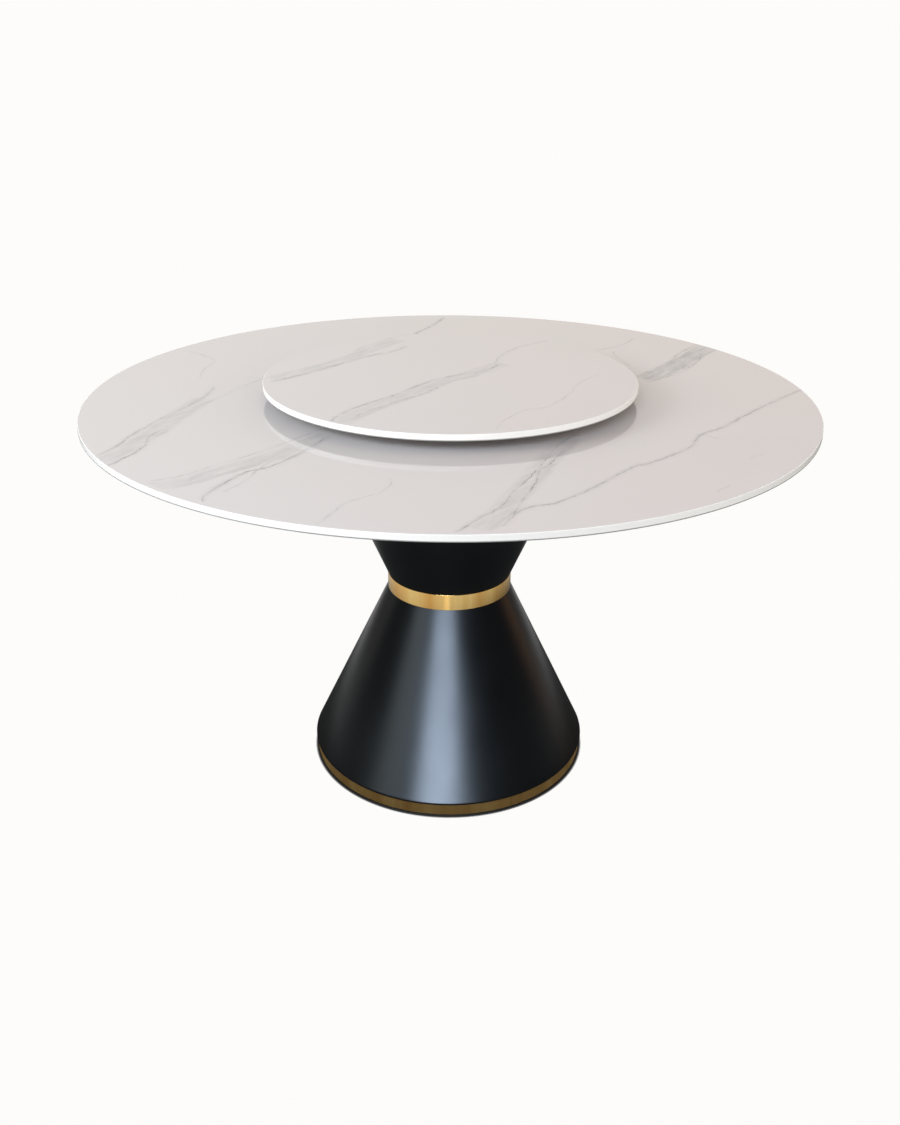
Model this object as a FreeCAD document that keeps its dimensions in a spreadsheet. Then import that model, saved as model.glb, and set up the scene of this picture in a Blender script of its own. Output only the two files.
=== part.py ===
import FreeCAD, Part
import os
import re

import Sketcher
from FreeCAD import Vector

# A round pedestal dining table with a lazy susan, in millimetres.
# The origin is the middle of the foot ring on the floor and +Z points up.
# An hourglass of two sheet steel cones carries a thin sintered stone top, and a smaller
# stone disc turns above it on a caged ring of balls.

SIZES = {
    # stone discs
    "table_dia": 1350,
    "table_height": 760,
    "slab_thick": 12,
    "slab_arris": 1.2,
    "susan_dia": 700,
    "susan_thick": 12,
    "susan_arris": 1.2,
    "susan_gap": 20,
    # ball race under the lazy susan
    "pitch_dia": 374,
    "ball_dia": 8,
    "ball_count": 20,
    "ball_play": 0.25,
    "race_gap": 4.4,
    "ring_width": 17,
    "ring_step": 1.5,
    "ring_edge": 1,
    "cage_play": 1,
    "cage_rail": 1.3,
    "pocket_play": 0.3,
    "race_pad_thick": 2.5,
    "race_pad_dia": 13,
    "race_pad_count": 8,
    # hourglass cones and the gold trim
    "neck_dia": 246,
    "waist_height": 361,
    "waist_band_height": 32,
    "waist_band_thick": 1.2,
    "waist_band_proud": 0.5,
    "trim_play": 0.1,
    "core_wall": 6,
    "cone_sheet": 1.5,
    "cone_top_dia": 550,
    "lip_width": 12,
    "tape_thick": 1,
    "base_dia": 550,
    "base_band_height": 22,
    "base_band_thick": 1.5,
    "rim_overhang": 6,
    "rim_round": 4,
    "seam_gap": 0.6,
    "seam_angle": -64,
    # foot and base plate
    "foot_height": 3,
    "foot_proud": 2,
    "foot_width": 26,
    "base_plate_thick": 10,
    "hem_width": 16,
    "skirt_screw_dia": 6,
    "skirt_screw_head": 12,
    "skirt_screw_count": 8,
    "skirt_nut_across": 10,
    "skirt_nut_height": 5,
    # column inside the cones
    "column_dia": 89,
    "column_wall": 4,
    "flange_reach": 50,
    "flange_thick": 8,
    "flange_bolt_reach": 26,
    "flange_bolt_dia": 10,
    "flange_bolt_head": 20,
    "flange_bolt_count": 4,
    "flange_nut_across": 16,
    "flange_nut_height": 8.4,
    "flange_washer_dia": 20,
    "flange_washer_thick": 2,
    "gusset_thick": 6,
    "gusset_toe": 10,
    "base_gusset_height": 75,
    "base_gusset_inset": 8,
    # plates at the waist
    "neck_plate_thick": 8,
    "neck_plate_play": 0.3,
    "neck_bolt_inset": 20,
    "neck_bolt_dia": 12,
    "neck_bolt_across": 18,
    "neck_bolt_head": 7.5,
    "neck_bolt_count": 6,
    "neck_nut_height": 10.8,
    "neck_washer_dia": 24,
    "neck_washer_thick": 2.5,
    # plate and board under the stone top
    "top_plate_thick": 6,
    "top_plate_play": 13,
    "top_gusset_count": 6,
    "top_gusset_height": 95,
    "top_gusset_inset": 30,
    "top_bolt_inset": 50,
    "top_bolt_dia": 8,
    "top_bolt_across": 13,
    "top_bolt_head": 5.3,
    "top_washer_dia": 16,
    "top_washer_thick": 1.6,
    "insert_dia": 12,
    "insert_length": 12,
    "board_thick": 15,
    "board_play": 7,
    "dab_thick": 2,
    "dab_dia": 50,
    "dab_inset": 45,
    "dab_count": 12,
    # fits shared by every fastener
    "hole_play": 0.5,
    "thread_play": 0.15,
    "bolt_tail": 3,
}

# Levels above the floor, as formulas of the sizes
PLATE_TOP = "(foot_height + base_plate_thick)"
BAND_TOP = "(foot_height + base_band_height)"
FLANGE_TOP = f"({PLATE_TOP} + flange_thick)"
WAIST_TOP = "(waist_height + waist_band_height)"
LOWER_NECK_UNDER = "(waist_height - neck_plate_thick)"
UPPER_NECK_TOP = f"({WAIST_TOP} + neck_plate_thick)"
SLAB_UNDER = "(table_height - slab_thick)"
CONE_TOP = f"({SLAB_UNDER} - tape_thick)"
BOARD_TOP = f"({SLAB_UNDER} - dab_thick)"
BOARD_UNDER = f"({BOARD_TOP} - board_thick)"
TOP_PLATE_UNDER = f"({BOARD_UNDER} - top_plate_thick)"
BASE_RING_UNDER = "(table_height + race_pad_thick)"
SUSAN_UNDER = "(table_height + susan_gap)"
TURN_RING_TOP = f"({SUSAN_UNDER} - race_pad_thick)"
RACE_LEVEL = f"(({BASE_RING_UNDER} + {TURN_RING_TOP}) / 2)"

# Radii about the table's axis
NECK_R = "(neck_dia / 2)"
COLUMN_R = "(column_dia / 2)"
PITCH_R = "(pitch_dia / 2)"
BASE_R = "(base_dia / 2)"
SKIRT_R = f"({BASE_R} - base_band_thick - trim_play)"
RIM_R = f"({BASE_R} + rim_overhang)"
FOOT_R = f"({BASE_R} + foot_proud)"
WAIST_R = f"({NECK_R} + waist_band_proud)"
CORE_R = f"({WAIST_R} - waist_band_thick - trim_play)"
CORE_BORE_R = f"({CORE_R} - core_wall)"
NECK_BOLT_R = f"({CORE_BORE_R} - neck_bolt_inset)"
FLANGE_R = f"({COLUMN_R} + flange_reach)"
FLANGE_BOLT_R = f"({COLUMN_R} + flange_bolt_reach)"
SKIRT_SCREW_R = f"({SKIRT_R} - cone_sheet - hem_width / 2)"

# How far each cone widens per millimetre of height, and its wall measured level
LOWER_LEAN = f"(({RIM_R} - {NECK_R}) / (waist_height - {BAND_TOP}))"
LOWER_WALL = f"(cone_sheet * sqrt(1 + {LOWER_LEAN}^2))"
UPPER_LEAN = f"((cone_top_dia / 2 - {NECK_R}) / ({CONE_TOP} - {WAIST_TOP}))"
UPPER_WALL = f"(cone_sheet * sqrt(1 + {UPPER_LEAN}^2))"


def inside_upper_cone(level):
    """The upper cone's inner radius at a level."""
    return f"({NECK_R} + {UPPER_LEAN} * ({level} - {WAIST_TOP}) - {UPPER_WALL})"


NECK_PLATE_R = f"({NECK_R} - max({LOWER_WALL}; {UPPER_WALL}) - neck_plate_play)"
TOP_PLATE_R = f"({inside_upper_cone(TOP_PLATE_UNDER)} - top_plate_play)"
TOP_BOLT_R = f"({TOP_PLATE_R} - top_bolt_inset)"
BOARD_R = f"({inside_upper_cone(BOARD_UNDER)} - board_play)"

doc = FreeCAD.newDocument("lazy_susan_table")
sheet = doc.addObject("Spreadsheet::Sheet", "sizes")
for row, (size, number) in enumerate(SIZES.items(), start=1):
    sheet.set(f"A{row}", size)
    sheet.set(f"B{row}", str(number))
    sheet.setAlias(f"B{row}", size)
doc.recompute()


def value(formula):
    """What a formula of the sizes comes to now."""
    return float(sheet.evalExpression(formula))


def bind(thing, place, formula):
    """Tie a property or a sketch constraint to the sheet."""
    def from_sheet(word):
        return f"sizes.{word[0]}" if word[0] in SIZES else word[0]
    thing.setExpression(place, re.sub(r"[a-z]\w*", from_sheet, formula))


def origin_part(body, role):
    return next(part for part in body.Origin.OriginFeatures if part.Role == role)


def new_body(label, many=False):
    """An empty body, or a group of separate like solids where many is set."""
    body = doc.addObject("PartDesign::Body", label)
    body.Label = label
    body.AllowCompound = many
    return body


def new_sketch(body, role, level=None):
    """An empty sketch on one of the body's own planes, raised to a level."""
    sketch = body.newObject("Sketcher::SketchObject", f"{body.Label}_sketch")
    sketch.AttachmentSupport = (origin_part(body, role), [""])
    sketch.MapMode = "FlatFace"
    if level is not None:
        bind(sketch, "AttachmentOffset.Base.z", level)
    return sketch


def fix(sketch, kind, geometry, point, formula):
    """Hold one coordinate of a point, or a radius, at a formula of the sheet."""
    if kind == "Radius":
        rule = Sketcher.Constraint(kind, geometry, value(formula))
    else:
        rule = Sketcher.Constraint(kind, -1, 1, geometry, point, value(formula))
    bind(sketch, f"Constraints[{sketch.addConstraint(rule)}]", formula)


def draw_outline(sketch, corners):
    """A closed outline of straight runs, each corner a pair of formulas."""
    spots = [Vector(value(across), value(up), 0) for across, up in corners]
    first = sketch.GeometryCount
    for here, there in zip(spots, spots[1:] + spots[:1]):
        sketch.addGeometry(Part.LineSegment(here, there), False)
    for step, (across, up) in enumerate(corners):
        line = first + step
        after = first + (step + 1) % len(corners)
        sketch.addConstraint(Sketcher.Constraint("Coincident", line, 2, after, 1))
        fix(sketch, "DistanceX", line, 1, across)
        fix(sketch, "DistanceY", line, 1, up)


def draw_circle(sketch, across, up, radius):
    centre = Vector(value(across), value(up), 0)
    ring = sketch.addGeometry(Part.Circle(centre, Vector(0, 0, 1), value(radius)), False)
    fix(sketch, "DistanceX", ring, 3, across)
    fix(sketch, "DistanceY", ring, 3, up)
    fix(sketch, "Radius", ring, 0, radius)


def draw_hexagon(sketch, across, width):
    """A hexagon of a spanner width, centred on the X axis at a distance across."""
    corner = f"({width} / sqrt(3))"
    side = f"({width} / 2)"
    draw_outline(sketch, [
        (f"{across} + {corner}", "0"),
        (f"{across} + {corner} / 2", side),
        (f"{across} - {corner} / 2", side),
        (f"{across} - {corner}", "0"),
        (f"{across} - {corner} / 2", f"-{side}"),
        (f"{across} + {corner} / 2", f"-{side}"),
    ])


def spin(body, corners, axis=None, kind="Revolution"):
    """Turn an outline of radii and levels about the table's axis, or about a pin's own axis."""
    sketch = new_sketch(body, "XZ_Plane")
    if axis is not None:
        line = Part.LineSegment(Vector(value(axis), 0, 0), Vector(value(axis), 1, 0))
        pin = sketch.addGeometry(line, True)
        for end, up in ((1, "0"), (2, "1")):
            fix(sketch, "DistanceX", pin, end, axis)
            fix(sketch, "DistanceY", pin, end, up)
        corners = [(f"{axis} + {radius}", level) for radius, level in corners]
    draw_outline(sketch, corners)
    return turn(body, sketch, "V_Axis" if axis is None else "Axis0", kind)


def turn(body, sketch, axis, kind):
    """A full turn of a sketch: a Revolution adds and a Groove cuts."""
    feature = body.newObject(f"PartDesign::{kind}", f"{body.Label}_turn")
    feature.Profile = sketch
    feature.ReferenceAxis = (sketch, [axis])
    feature.Angle = 360
    return feature


def pad(body, sketch, length, middle=False):
    """Thicken a sketch upwards, or half to each side of its plane."""
    feature = body.newObject("PartDesign::Pad", f"{body.Label}_pad")
    feature.Profile = sketch
    bind(feature, "Length", length)
    if middle:
        feature.SideType = "Symmetric"
    return feature


def disc(body, level, radius, height):
    sketch = new_sketch(body, "XY_Plane", level)
    draw_circle(sketch, "0", "0", radius)
    return pad(body, sketch, height)


def puck(body, across, level, radius, height):
    """A short round pad standing off the axis."""
    sketch = new_sketch(body, "XY_Plane", level)
    draw_circle(sketch, across, "0", radius)
    return pad(body, sketch, height)


def drill(body, across, radius, under=None, depth=None):
    """An upright hole right through the body, or one of a given depth upwards from a level."""
    sketch = new_sketch(body, "XY_Plane", under)
    draw_circle(sketch, across, "0", radius)
    feature = body.newObject("PartDesign::Pocket", f"{body.Label}_hole")
    feature.Profile = sketch
    if depth is None:
        feature.Type = "ThroughAll"
        feature.SideType = "Symmetric"
    else:
        feature.Reversed = True
        bind(feature, "Length", depth)
    return feature


def repeat(body, features, count, start=None):
    """Set features evenly round the table's axis, the whole body turned to a start angle."""
    pattern = body.newObject("PartDesign::PolarPattern", f"{body.Label}_circle")
    pattern.Originals = features
    pattern.Axis = (origin_part(body, "Z_Axis"), [""])
    pattern.Angle = 360
    bind(pattern, "Occurrences", count)
    body.Tip = pattern
    if start is not None:
        bind(body, "Placement.Rotation.Angle", start)
    return pattern


def circle_edges(feature, radius, level):
    """The names of a feature's level circles of one radius at one height."""
    doc.recompute()
    names = []
    for number, edge in enumerate(feature.Shape.Edges, start=1):
        round_edge = isinstance(edge.Curve, Part.Circle)
        if round_edge and abs(edge.Curve.Radius - value(radius)) < 1e-4:
            if abs(edge.Curve.Center.z - value(level)) < 1e-4:
                names.append(f"Edge{number}")
    return names


def ease(body, feature, circles, size, kind="Chamfer", prop="Size"):
    """Break or round the edges of a turned piece, found by radius and level."""
    edges = [name for radius, level in circles for name in circle_edges(feature, radius, level)]
    eased = body.newObject(f"PartDesign::{kind}", f"{body.Label}_edge")
    eased.Base = (feature, edges)
    bind(eased, prop, size)
    return eased


def stone_disc(label, dia, under, thick, arris):
    """A polished stone disc with its sharp edges taken off."""
    body = new_body(label)
    radius = f"({dia} / 2)"
    slab = disc(body, under, radius, thick)
    top = f"({under} + {thick})"
    ease(body, slab, [(radius, under), (radius, top)], arris)


def foot_ring():
    body = new_body("foot_ring")
    ring = disc(body, "0", FOOT_R, "foot_height")
    drill(body, "0", f"({FOOT_R} - foot_width)")
    return ring


def countersunk(body, axis, dia, head, under, play):
    """The outline of a countersunk screw's space: head, then shank up to the piece's top."""
    return spin(body, [
        ("0", under),
        (f"({head} / 2 + {play})", under),
        (f"({dia} / 2 + {play})", f"({under} + ({head} - {dia}) / 2)"),
        (f"({dia} / 2 + {play})", PLATE_TOP),
        ("0", PLATE_TOP),
    ], axis, "Groove")


def base_plate():
    """A heavy steel disc, countersunk from below for the column and for the cone's hem."""
    body = new_body("base_plate")
    disc(body, "foot_height", SKIRT_R, "base_plate_thick")
    column_hole = countersunk(body, FLANGE_BOLT_R, "flange_bolt_dia", "flange_bolt_head",
                              "foot_height", "hole_play")
    repeat(body, [column_hole], "flange_bolt_count")
    hem_hole = countersunk(body, SKIRT_SCREW_R, "skirt_screw_dia", "skirt_screw_head",
                           "foot_height", "hole_play")
    repeat(body, [hem_hole], "skirt_screw_count")


def base_band():
    """The gold strip round the base, its butt joint left as a fine seam."""
    body = new_body("base_band")
    inner = f"({BASE_R} - base_band_thick)"
    spin(body, [(inner, "foot_height"), (BASE_R, "foot_height"), (BASE_R, BAND_TOP), (inner, BAND_TOP)])
    sketch = new_sketch(body, "XY_Plane")
    near = f"({inner} - base_band_thick)"
    far = f"({BASE_R} + base_band_thick)"
    draw_outline(sketch, [(near, "-seam_gap / 2"), (far, "-seam_gap / 2"),
                          (far, "seam_gap / 2"), (near, "seam_gap / 2")])
    seam = body.newObject("PartDesign::Pocket", "base_band_seam")
    seam.Profile = sketch
    seam.Type = "ThroughAll"
    seam.SideType = "Symmetric"
    bind(body, "Placement.Rotation.Angle", "seam_angle")


def lower_cone():
    """The spun lower cone: neck, slope, rounded rim, then a skirt and hem behind the gold strip."""
    body = new_body("lower_cone")
    inner_skirt = f"({SKIRT_R} - cone_sheet)"
    hem = f"({inner_skirt} - hem_width)"
    shelf = f"({BAND_TOP} + cone_sheet)"
    inner_rim = f"({RIM_R} - {LOWER_LEAN} * cone_sheet - {LOWER_WALL})"
    shell = spin(body, [
        (NECK_R, "waist_height"),
        (RIM_R, BAND_TOP),
        (SKIRT_R, BAND_TOP),
        (SKIRT_R, PLATE_TOP),
        (hem, PLATE_TOP),
        (hem, f"({PLATE_TOP} + cone_sheet)"),
        (inner_skirt, f"({PLATE_TOP} + cone_sheet)"),
        (inner_skirt, shelf),
        (inner_rim, shelf),
        (f"({NECK_R} - {LOWER_WALL})", "waist_height"),
    ])
    outside = ease(body, shell, [(RIM_R, BAND_TOP)], "rim_round", "Fillet", "Radius")
    ease(body, outside, [(inner_rim, shelf)], "(rim_round - cone_sheet)", "Fillet", "Radius")
    hole = drill(body, SKIRT_SCREW_R, "(skirt_screw_dia / 2 + hole_play)", PLATE_TOP, "cone_sheet")
    repeat(body, [hole], "skirt_screw_count")


def upper_cone():
    """The upper cone, opening to a turned-in lip under the stone."""
    body = new_body("upper_cone")
    lip = f"(cone_top_dia / 2 - {UPPER_WALL} - lip_width)"
    under_lip = f"({CONE_TOP} - cone_sheet)"
    spin(body, [
        (NECK_R, WAIST_TOP),
        ("cone_top_dia / 2", CONE_TOP),
        (lip, CONE_TOP),
        (lip, under_lip),
        (inside_upper_cone(under_lip), under_lip),
        (f"({NECK_R} - {UPPER_WALL})", WAIST_TOP),
    ])


def rim_tape():
    """Foam tape between the upper cone's lip and the stone."""
    body = new_body("rim_tape")
    disc(body, CONE_TOP, "(cone_top_dia / 2 - cone_sheet)", "tape_thick")
    drill(body, "0", f"(cone_top_dia / 2 - {UPPER_WALL} - lip_width)")


def waist():
    """The spacer between the cones and the gold band round it."""
    core = new_body("waist_core")
    disc(core, "waist_height", CORE_R, "waist_band_height")
    drill(core, "0", CORE_BORE_R)
    band = new_body("waist_band")
    disc(band, "waist_height", WAIST_R, "waist_band_height")
    drill(band, "0", f"({WAIST_R} - waist_band_thick)")


def neck_plate(label, under):
    """A disc welded into a cone's neck, drilled for the bolts through the waist."""
    body = new_body(label)
    disc(body, under, NECK_PLATE_R, "neck_plate_thick")
    hole = drill(body, NECK_BOLT_R, "(neck_bolt_dia / 2 + hole_play)")
    repeat(body, [hole], "neck_bolt_count")


def tube(label, under, height):
    body = new_body(label)
    disc(body, under, COLUMN_R, height)
    drill(body, "0", f"({COLUMN_R} - column_wall)")


def column_flange():
    body = new_body("column_flange")
    disc(body, PLATE_TOP, FLANGE_R, "flange_thick")
    hole = drill(body, FLANGE_BOLT_R, "(flange_bolt_dia / 2 + hole_play)")
    repeat(body, [hole], "flange_bolt_count")


def gussets(label, seat, reach, height, up, count):
    """Blunt triangular ribs against the column, standing on a plate or hanging under one."""
    body = new_body(label, many=True)
    sketch = new_sketch(body, "XZ_Plane")
    toe = f"({seat} + {up} * gusset_toe)"
    tip = f"({seat} + {up} * {height})"
    draw_outline(sketch, [
        (COLUMN_R, seat),
        (reach, seat),
        (reach, toe),
        (f"({COLUMN_R} + gusset_toe)", tip),
        (COLUMN_R, tip),
    ])
    rib = pad(body, sketch, "gusset_thick", middle=True)
    repeat(body, [rib], count, f"180 / {count}")


def countersunk_screws(label, axis, dia, head, top, count):
    """Flat-headed screws standing up through the base plate."""
    body = new_body(label, many=True)
    screw = spin(body, [
        ("0", "foot_height"),
        (f"({head} / 2)", "foot_height"),
        (f"({dia} / 2)", f"(foot_height + ({head} - {dia}) / 2)"),
        (f"({dia} / 2)", top),
        ("0", top),
    ], axis)
    repeat(body, [screw], count)


def hex_nuts(label, axis, under, across, dia, height, count, start=None):
    body = new_body(label, many=True)
    sketch = new_sketch(body, "XY_Plane", under)
    draw_hexagon(sketch, axis, across)
    draw_circle(sketch, axis, "0", f"({dia} / 2 + thread_play)")
    repeat(body, [pad(body, sketch, height)], count, start)


def washers(label, axis, levels, dia, bolt, thick, count, start=None):
    """Flat washers at one or more levels on each bolt."""
    body = new_body(label, many=True)
    stack = []
    for level in levels:
        sketch = new_sketch(body, "XY_Plane", level)
        draw_circle(sketch, axis, "0", f"({dia} / 2)")
        draw_circle(sketch, axis, "0", f"({bolt} / 2 + hole_play)")
        stack.append(pad(body, sketch, thick))
    repeat(body, stack, count, start)


def hex_bolts(label, axis, head_under, head, across, shank_under, length, dia, count, start=None):
    """Hexagon-headed bolts: the shank overlaps its own head and the two are one solid."""
    body = new_body(label, many=True)
    shank = puck(body, axis, shank_under, f"({dia} / 2)", length)
    sketch = new_sketch(body, "XY_Plane", head_under)
    draw_hexagon(sketch, axis, across)
    repeat(body, [shank, pad(body, sketch, head)], count, start)


def base_fasteners():
    """Bolts that hold the column's flange and the cone's hem down on the base plate."""
    washer_top = f"({FLANGE_TOP} + flange_washer_thick)"
    nut_top = f"({washer_top} + flange_nut_height)"
    countersunk_screws("flange_bolts", FLANGE_BOLT_R, "flange_bolt_dia", "flange_bolt_head",
                       f"({nut_top} + bolt_tail)", "flange_bolt_count")
    washers("flange_washers", FLANGE_BOLT_R, [FLANGE_TOP], "flange_washer_dia",
            "flange_bolt_dia", "flange_washer_thick", "flange_bolt_count")
    hex_nuts("flange_nuts", FLANGE_BOLT_R, washer_top, "flange_nut_across",
             "flange_bolt_dia", "flange_nut_height", "flange_bolt_count")
    hem_top = f"({PLATE_TOP} + cone_sheet)"
    countersunk_screws("skirt_screws", SKIRT_SCREW_R, "skirt_screw_dia", "skirt_screw_head",
                       f"({hem_top} + skirt_nut_height)", "skirt_screw_count")
    hex_nuts("skirt_nuts", SKIRT_SCREW_R, hem_top, "skirt_nut_across",
             "skirt_screw_dia", "skirt_nut_height", "skirt_screw_count")


def waist_fasteners():
    """Bolts from the upper neck plate down through the waist to nuts under the lower one."""
    head_under = f"({UPPER_NECK_TOP} + neck_washer_thick)"
    washer_under = f"({LOWER_NECK_UNDER} - neck_washer_thick)"
    nut_under = f"({washer_under} - neck_nut_height)"
    shank_under = f"({nut_under} - bolt_tail)"
    hex_bolts("neck_bolts", NECK_BOLT_R, head_under, "neck_bolt_head", "neck_bolt_across",
              shank_under, f"({head_under} - {shank_under})", "neck_bolt_dia", "neck_bolt_count")
    washers("neck_washers", NECK_BOLT_R, [UPPER_NECK_TOP, washer_under], "neck_washer_dia",
            "neck_bolt_dia", "neck_washer_thick", "neck_bolt_count")
    hex_nuts("neck_nuts", NECK_BOLT_R, nut_under, "neck_bolt_across",
             "neck_bolt_dia", "neck_nut_height", "neck_bolt_count")


def top_plate():
    body = new_body("top_plate")
    disc(body, TOP_PLATE_UNDER, TOP_PLATE_R, "top_plate_thick")
    hole = drill(body, TOP_BOLT_R, "(top_bolt_dia / 2 + hole_play)")
    repeat(body, [hole], "top_gusset_count")


def mounting_board():
    """A plywood disc bonded under the stone, bored for its threaded inserts."""
    body = new_body("mounting_board")
    disc(body, BOARD_UNDER, BOARD_R, "board_thick")
    bore = drill(body, TOP_BOLT_R, "(insert_dia / 2 + trim_play)", BOARD_UNDER, "insert_length")
    repeat(body, [bore], "top_gusset_count")


def top_fasteners():
    """Bolts from under the top plate, one between each pair of ribs, into the board's inserts."""
    washer_under = f"({TOP_PLATE_UNDER} - top_washer_thick)"
    head_under = f"({washer_under} - top_bolt_head)"
    length = f"({BOARD_UNDER} + insert_length - {washer_under})"
    hex_bolts("top_bolts", TOP_BOLT_R, head_under, "top_bolt_head", "top_bolt_across",
              washer_under, length, "top_bolt_dia", "top_gusset_count")
    washers("top_washers", TOP_BOLT_R, [washer_under], "top_washer_dia",
            "top_bolt_dia", "top_washer_thick", "top_gusset_count")
    inserts = new_body("threaded_inserts", many=True)
    sketch = new_sketch(inserts, "XY_Plane", BOARD_UNDER)
    draw_circle(sketch, TOP_BOLT_R, "0", "(insert_dia / 2)")
    draw_circle(sketch, TOP_BOLT_R, "0", "(top_bolt_dia / 2 + thread_play)")
    repeat(inserts, [pad(inserts, sketch, "insert_length")], "top_gusset_count")


def silicone_dabs():
    body = new_body("silicone_dabs", many=True)
    dab = puck(body, f"({BOARD_R} - dab_inset)", BOARD_TOP, "(dab_dia / 2)", "dab_thick")
    repeat(body, [dab], "dab_count")


def race_ring(label, under, face, back, side):
    """A race ring with broken edges and a ball groove in the face towards the other ring."""
    body = new_body(label)
    top = f"({under} + ({TURN_RING_TOP} - {BASE_RING_UNDER}) - ring_step)"
    spin(body, [
        (face, under),
        (f"({back} - {side} * ring_edge)", under),
        (back, f"({under} + ring_edge)"),
        (back, f"({top} - ring_edge)"),
        (f"({back} - {side} * ring_edge)", top),
        (face, top),
    ])
    sketch = new_sketch(body, "XZ_Plane")
    draw_circle(sketch, PITCH_R, RACE_LEVEL, "(ball_dia / 2 + ball_play)")
    turn(body, sketch, "V_Axis", "Groove")


def race_rings():
    """The fixed outer ring on the table and the inner ring that carries the susan."""
    outer_face = f"({PITCH_R} + race_gap / 2)"
    inner_face = f"({PITCH_R} - race_gap / 2)"
    race_ring("race_base_ring", BASE_RING_UNDER, outer_face, f"({outer_face} + ring_width)", "1")
    turn_ring_under = f"({BASE_RING_UNDER} + ring_step)"
    race_ring("race_turn_ring", turn_ring_under, inner_face, f"({inner_face} - ring_width)", "-1")


def race_pads(label, middle, level):
    """Soft pads between a race ring and the stone that it bears on."""
    body = new_body(label, many=True)
    soft_pad = puck(body, middle, level, "(race_pad_dia / 2)", "race_pad_thick")
    repeat(body, [soft_pad], "race_pad_count")


def ball_cage():
    """A thin hoop between the rings with a round pocket for each ball."""
    body = new_body("ball_cage")
    half = "(race_gap / 2 - cage_play)"
    pocket = "(ball_dia / 2 + pocket_play)"
    low = f"({RACE_LEVEL} - {pocket} - cage_rail)"
    high = f"({RACE_LEVEL} + {pocket} + cage_rail)"
    spin(body, [
        (f"({PITCH_R} - {half})", low),
        (f"({PITCH_R} + {half})", low),
        (f"({PITCH_R} + {half})", high),
        (f"({PITCH_R} - {half})", high),
    ])
    sketch = new_sketch(body, "YZ_Plane")
    draw_circle(sketch, "0", RACE_LEVEL, pocket)
    hole = body.newObject("PartDesign::Pocket", "ball_cage_pocket")
    hole.Profile = sketch
    hole.Reversed = True
    bind(hole, "Length", f"({PITCH_R} + ball_dia)")
    repeat(body, [hole], "ball_count")


def bearing_balls():
    """The steel balls, each a half outline turned about its own upright axis."""
    body = new_body("bearing_balls", many=True)
    sketch = new_sketch(body, "XZ_Plane")
    middle = Vector(value(PITCH_R), value(RACE_LEVEL), 0)
    radius = value("ball_dia / 2")
    quarter_turn = FreeCAD.Units.Quantity("90 deg").getValueAs("rad").Value
    whole = Part.Circle(middle, Vector(0, 0, 1), radius)
    arc = sketch.addGeometry(Part.ArcOfCircle(whole, -quarter_turn, quarter_turn), False)
    pole = Vector(0, radius, 0)
    axis = sketch.addGeometry(Part.LineSegment(middle + pole, middle - pole), False)
    sketch.addConstraint(Sketcher.Constraint("Coincident", arc, 2, axis, 1))
    sketch.addConstraint(Sketcher.Constraint("Coincident", axis, 2, arc, 1))
    sketch.addConstraint(Sketcher.Constraint("PointOnObject", arc, 3, axis))
    sketch.addConstraint(Sketcher.Constraint("Vertical", axis))
    fix(sketch, "DistanceX", arc, 3, PITCH_R)
    fix(sketch, "DistanceY", arc, 3, RACE_LEVEL)
    fix(sketch, "Radius", arc, 0, "(ball_dia / 2)")
    ball = turn(body, sketch, f"Edge{axis + 1}", "Revolution")
    repeat(body, [ball], "ball_count")


def build():
    foot_ring()
    base_plate()
    base_band()
    lower_cone()
    column_flange()
    tube("lower_column", FLANGE_TOP, f"({LOWER_NECK_UNDER} - {FLANGE_TOP})")
    gussets("base_gussets", FLANGE_TOP, f"({FLANGE_R} - base_gusset_inset)", "base_gusset_height",
            "1", "flange_bolt_count")
    base_fasteners()
    neck_plate("lower_neck_plate", LOWER_NECK_UNDER)
    waist()
    neck_plate("upper_neck_plate", WAIST_TOP)
    waist_fasteners()
    upper_cone()
    rim_tape()
    tube("upper_column", UPPER_NECK_TOP, f"({TOP_PLATE_UNDER} - {UPPER_NECK_TOP})")
    gussets("top_gussets", TOP_PLATE_UNDER, f"({TOP_PLATE_R} - top_gusset_inset)", "top_gusset_height",
            "-1", "top_gusset_count")
    top_plate()
    top_fasteners()
    mounting_board()
    silicone_dabs()
    stone_disc("tabletop", "table_dia", SLAB_UNDER, "slab_thick", "slab_arris")
    race_rings()
    ball_cage()
    bearing_balls()
    ring_middle = "(race_gap + ring_width) / 2"
    race_pads("race_feet", f"({PITCH_R} + {ring_middle})", "table_height")
    race_pads("susan_pads", f"({PITCH_R} - {ring_middle})", TURN_RING_TOP)
    stone_disc("susan_top", "susan_dia", SUSAN_UNDER, "susan_thick", "susan_arris")


def check(bodies):
    """Every object is sound, every cut removed something and every piece is a valid solid."""
    faults = [item.Name for item in doc.Objects if {"Invalid", "Error"} & set(item.State)]
    for item in doc.Objects:
        if item.TypeId in ("PartDesign::Pocket", "PartDesign::Groove"):
            if item.Shape.Volume >= item.BaseFeature.Shape.Volume - 1e-6:
                faults.append(f"{item.Name} cuts nothing")
    for body in bodies:
        if body.Shape.isNull() or not body.Shape.isValid() or not body.Shape.Solids:
            faults.append(f"{body.Label} has no valid solid")
    if faults:
        raise RuntimeError(", ".join(faults))


build()
doc.recompute()
pieces = [item for item in doc.Objects if item.TypeId == "PartDesign::Body"]
check(pieces)
os.makedirs("parts", exist_ok=True)
for piece in pieces:
    piece.Shape.exportStep(f"parts/{piece.Label}.step")
    print(piece.Label, len(piece.Shape.Solids), round(piece.Shape.Volume))
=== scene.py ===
"""A round pedestal dining table: stone top, lazy susan on its ball race, black cones and gold bands."""

import math

import bmesh
import bpy
from mathutils import Matrix, Vector


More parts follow.
